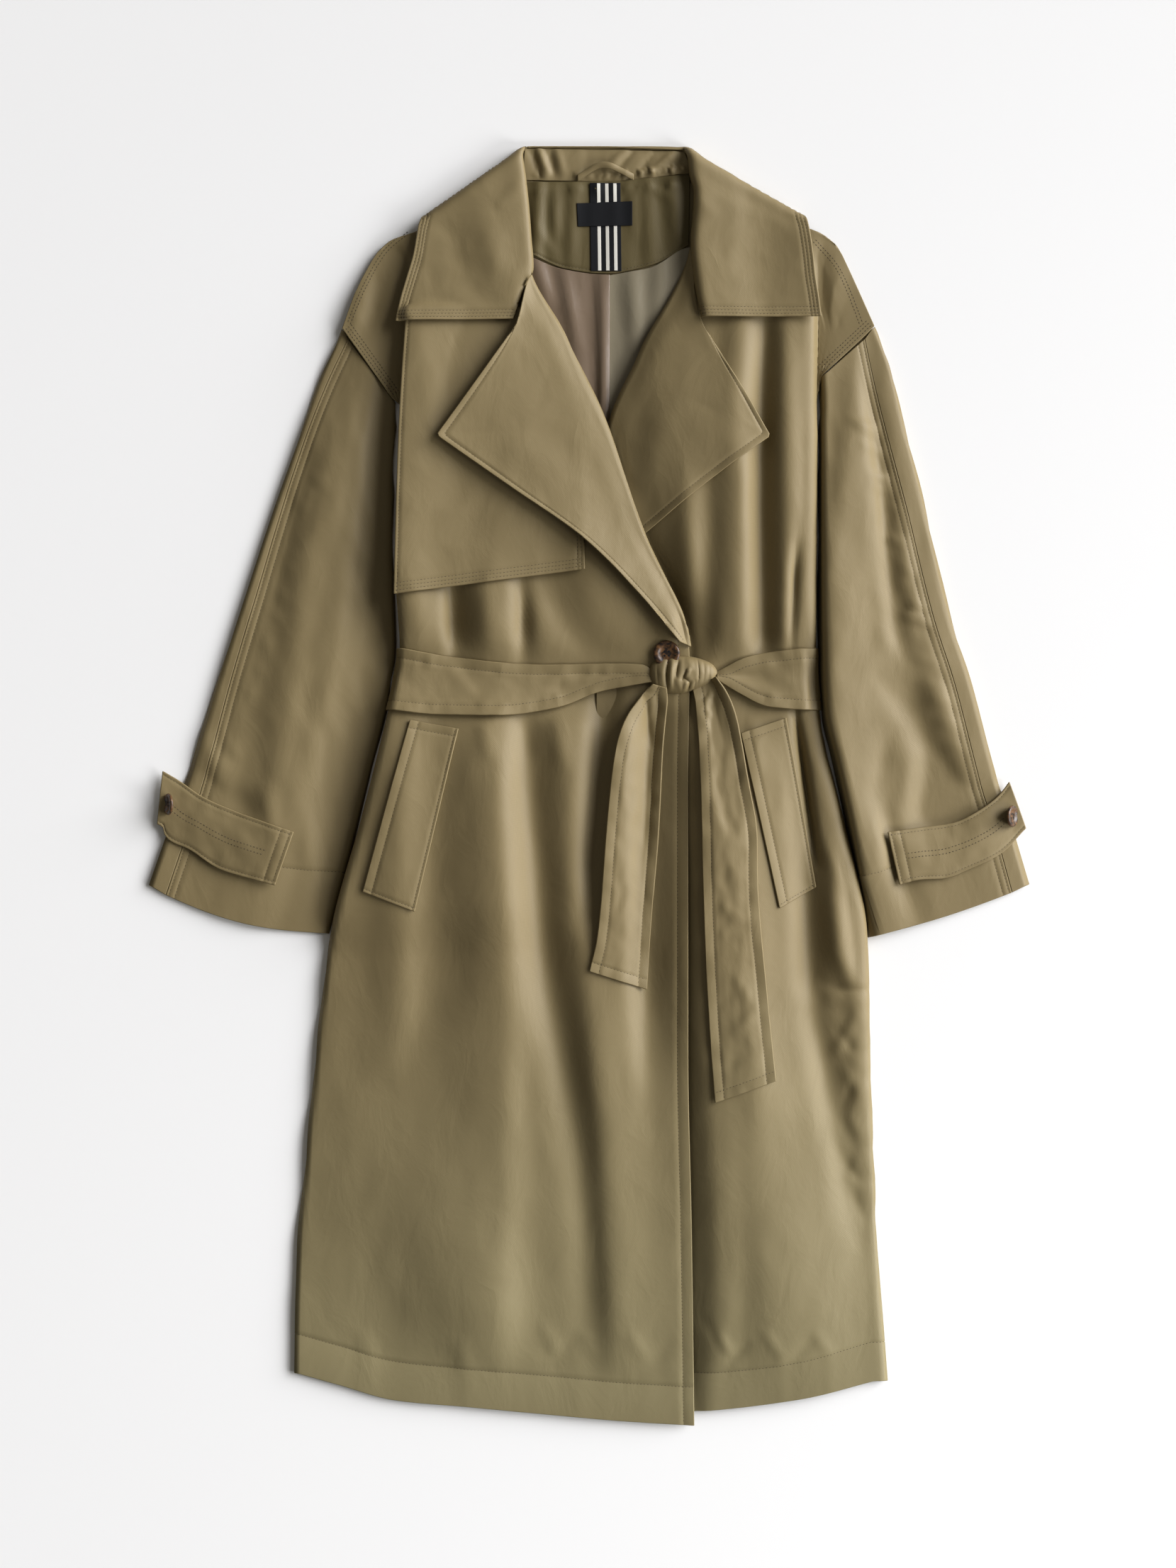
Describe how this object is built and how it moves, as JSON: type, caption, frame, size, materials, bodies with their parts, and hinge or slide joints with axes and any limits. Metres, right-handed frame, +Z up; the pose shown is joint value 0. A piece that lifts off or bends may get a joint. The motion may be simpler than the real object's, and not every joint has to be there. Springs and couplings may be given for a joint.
{
  "type": "trench coat",
  "caption": "Belted double-fronted trench coat with turned-back lapels, storm flap, cuff straps and slanted pockets, tied and laid flat on its back.",
  "frame": {"origin": "centre of the bounding box, at the surface that the coat lies on", "axes": "+X towards the wearer's left, +Y from the hem to the collar, +Z up from the surface"},
  "size_m": [0.8153, 1.1782, 0.0315],
  "materials": {
    "back_panel": "matt cotton gabardine",
    "belt": "matt cotton gabardine",
    "belt_knot": "matt cotton gabardine",
    "belt_tail_left": "matt cotton gabardine",
    "belt_tail_right": "matt cotton gabardine",
    "collar_fall": "matt cotton gabardine",
    "collar_stand": "matt cotton gabardine",
    "cuff_button_left": "dark horn",
    "cuff_button_right": "dark horn",
    "cuff_strap_left": "matt cotton gabardine",
    "cuff_strap_right": "matt cotton gabardine",
    "front_button": "dark horn",
    "front_left": "matt cotton gabardine",
    "front_right": "matt cotton gabardine",
    "hang_loop": "woven tape",
    "label": "woven tape",
    "lapel_left": "matt cotton gabardine",
    "lapel_right": "matt cotton gabardine",
    "lining_back_left": "satin lining",
    "lining_back_right": "satin lining",
    "neck_facing": "matt cotton gabardine",
    "pocket_welt_left": "matt cotton gabardine",
    "pocket_welt_right": "matt cotton gabardine",
    "sleeve_left_back": "matt cotton gabardine",
    "sleeve_left_front": "matt cotton gabardine",
    "sleeve_right_back": "matt cotton gabardine",
    "sleeve_right_front": "matt cotton gabardine",
    "storm_flap": "matt cotton gabardine",
    "stripe_tape": "woven tape"
  },
  "bodies": {
    "root": {"back_panel": "back_panel", "belt": "belt", "belt_knot": "belt_knot", "belt_tail_left": "belt_tail_left", "belt_tail_right": "belt_tail_right", "collar_fall": "collar_fall", "collar_stand": "collar_stand", "cuff_button_left": "cuff_button_left", "cuff_button_right": "cuff_button_right", "cuff_strap_left": "cuff_strap_left", "cuff_strap_right": "cuff_strap_right", "front_button": "front_button", "front_left": "front_left", "front_right": "front_right", "hang_loop": "hang_loop", "label": "label", "lapel_left": "lapel_left", "lapel_right": "lapel_right", "lining_back_left": "lining_back_left", "lining_back_right": "lining_back_right", "neck_facing": "neck_facing", "pocket_welt_left": "pocket_welt_left", "pocket_welt_right": "pocket_welt_right", "sleeve_left_back": "sleeve_left_back", "sleeve_left_front": "sleeve_left_front", "sleeve_right_back": "sleeve_right_back", "sleeve_right_front": "sleeve_right_front", "storm_flap": "storm_flap", "stripe_tape": "stripe_tape"}
  },
  "joints": []
}
